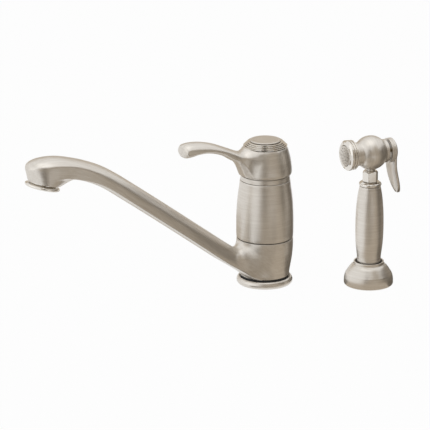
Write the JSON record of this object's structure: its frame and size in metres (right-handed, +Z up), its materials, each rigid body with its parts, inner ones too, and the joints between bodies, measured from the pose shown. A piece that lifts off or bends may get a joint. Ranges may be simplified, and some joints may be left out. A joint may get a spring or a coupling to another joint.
{
  "type": "side spray kitchen faucet",
  "caption": "Single-lever kitchen faucet with a swinging low-arc spout, and a separate handset spray with a squeeze trigger standing in its own deck holder.",
  "frame": {"origin": "on the faucet's vertical axis at deck level, in the middle of the inlet block's underside", "axes": "+Z up; +X from the faucet towards the side spray; at rest the spout and the lever point 213.2 degrees round from +X"},
  "size_m": [0.3481, 0.1757, 0.1617],
  "materials": {
    "brushed_nickel": "brushed nickel plate with fine lines",
    "polished_nickel": "polished nickel plate",
    "brass": "machined",
    "steel": "stainless",
    "ceramic": "lapped ceramic, stands in for alumina",
    "rubber": "moulded",
    "black_plastic": "moulded",
    "white_plastic": "moulded"
  },
  "bodies": {
    "faucet_body": {"base_ring": "brushed_nickel", "base_seal": "rubber", "lower_glide_ring": "black_plastic", "inlet_block": "brass", "valve_body": "brass", "lower_spout_oring": "rubber", "upper_spout_oring": "rubber", "diverter_sleeve": "white_plastic", "body_shell": "brushed_nickel", "upper_glide_ring": "black_plastic", "bonnet_ring": "brushed_nickel", "cartridge_gasket": "rubber", "cartridge_housing": "white_plastic", "fixed_ceramic_disc": "ceramic", "cartridge_nut": "brass", "spray_holder": "brushed_nickel", "holder_gasket": "rubber", "holder_liner": "black_plastic"},
    "diverter": {"diverter_piston": "brass"},
    "swing_spout": {"spout": "brushed_nickel", "aerator_housing": "polished_nickel", "aerator_screen": "steel", "aerator_insert": "white_plastic", "aerator_washer": "rubber"},
    "stem_turret": {"stem_carrier": "white_plastic", "stem_pin": "steel"},
    "mixing_disc": {"moving_ceramic_disc": "ceramic", "disc_carrier": "white_plastic"},
    "lever_handle": {"cartridge_stem": "steel", "handle_lever": "brushed_nickel", "handle_screw": "steel", "ridged_trim_ring": "polished_nickel", "index_button": "brushed_nickel"},
    "hose_end": {"hose_nipple": "brass"},
    "handset": {"spray_grip": "brushed_nickel", "nipple_washer": "rubber", "snap_ring": "steel", "grip_ring": "polished_nickel", "neck_nut": "polished_nickel", "spray_head": "brushed_nickel", "face_ring": "polished_nickel", "spray_plate": "brushed_nickel", "plate_seal": "rubber", "spring_retainer": "brass", "valve_seat": "rubber", "back_plug": "brushed_nickel", "pivot_pin": "steel", "plunger_oring": "rubber", "valve_spring": "steel"},
    "spray_trigger": {"trigger_lever": "brushed_nickel"},
    "spray_plunger": {"valve_plunger": "brass"}
  },
  "joints": [
    {"name": "spout_swivel", "type": "hinge", "parent": "faucet_body", "child": "swing_spout", "pos_m": [0, 0, 0], "axis": [0, 0, 1], "range_deg": [-90, 90]},
    {"name": "handle_turn", "type": "hinge", "parent": "faucet_body", "child": "stem_turret", "pos_m": [0, 0, 0], "axis": [0, 0, 1], "range_deg": [-45, 45]},
    {"name": "handle_lift", "type": "hinge", "parent": "stem_turret", "child": "lever_handle", "pos_m": [0, 0, 0.094], "axis": [-0.5476, 0.8368, 0], "range_deg": [0, 25]},
    {"name": "disc_slide", "type": "slide", "parent": "stem_turret", "child": "mixing_disc", "axis": [-0.8368, -0.5476, 0], "range_m": [0, 0.004]},
    {"name": "diverter_slide", "type": "slide", "parent": "faucet_body", "child": "diverter", "axis": [0, 0, 1], "range_m": [0, 0.003]},
    {"name": "spray_lift", "type": "slide", "parent": "faucet_body", "child": "hose_end", "axis": [0, 0, 1], "range_m": [0, 0.12]},
    {"name": "spray_turn", "type": "hinge", "parent": "hose_end", "child": "handset", "pos_m": [0.1016, 0, 0], "axis": [0, 0, 1], "continuous": true},
    {"name": "trigger_squeeze", "type": "hinge", "parent": "handset", "child": "spray_trigger", "pos_m": [0.11907, 0.0091, 0.1409], "axis": [-0.4618, 0.887, 0], "range_deg": [0, 6], "stiffness_Nm_per_rad": 1, "springref_deg": -17.19},
    {"name": "plunger_slide", "type": "slide", "parent": "handset", "child": "spray_plunger", "axis": [-0.887, -0.4618, 0], "range_m": [0, 0.0009]}
  ],
  "couplings": [
    {"joint": "disc_slide", "follows": "handle_lift", "m_per_rad": 0.009},
    {"joint": "plunger_slide", "follows": "trigger_squeeze", "m_per_rad": 0.008}
  ]
}
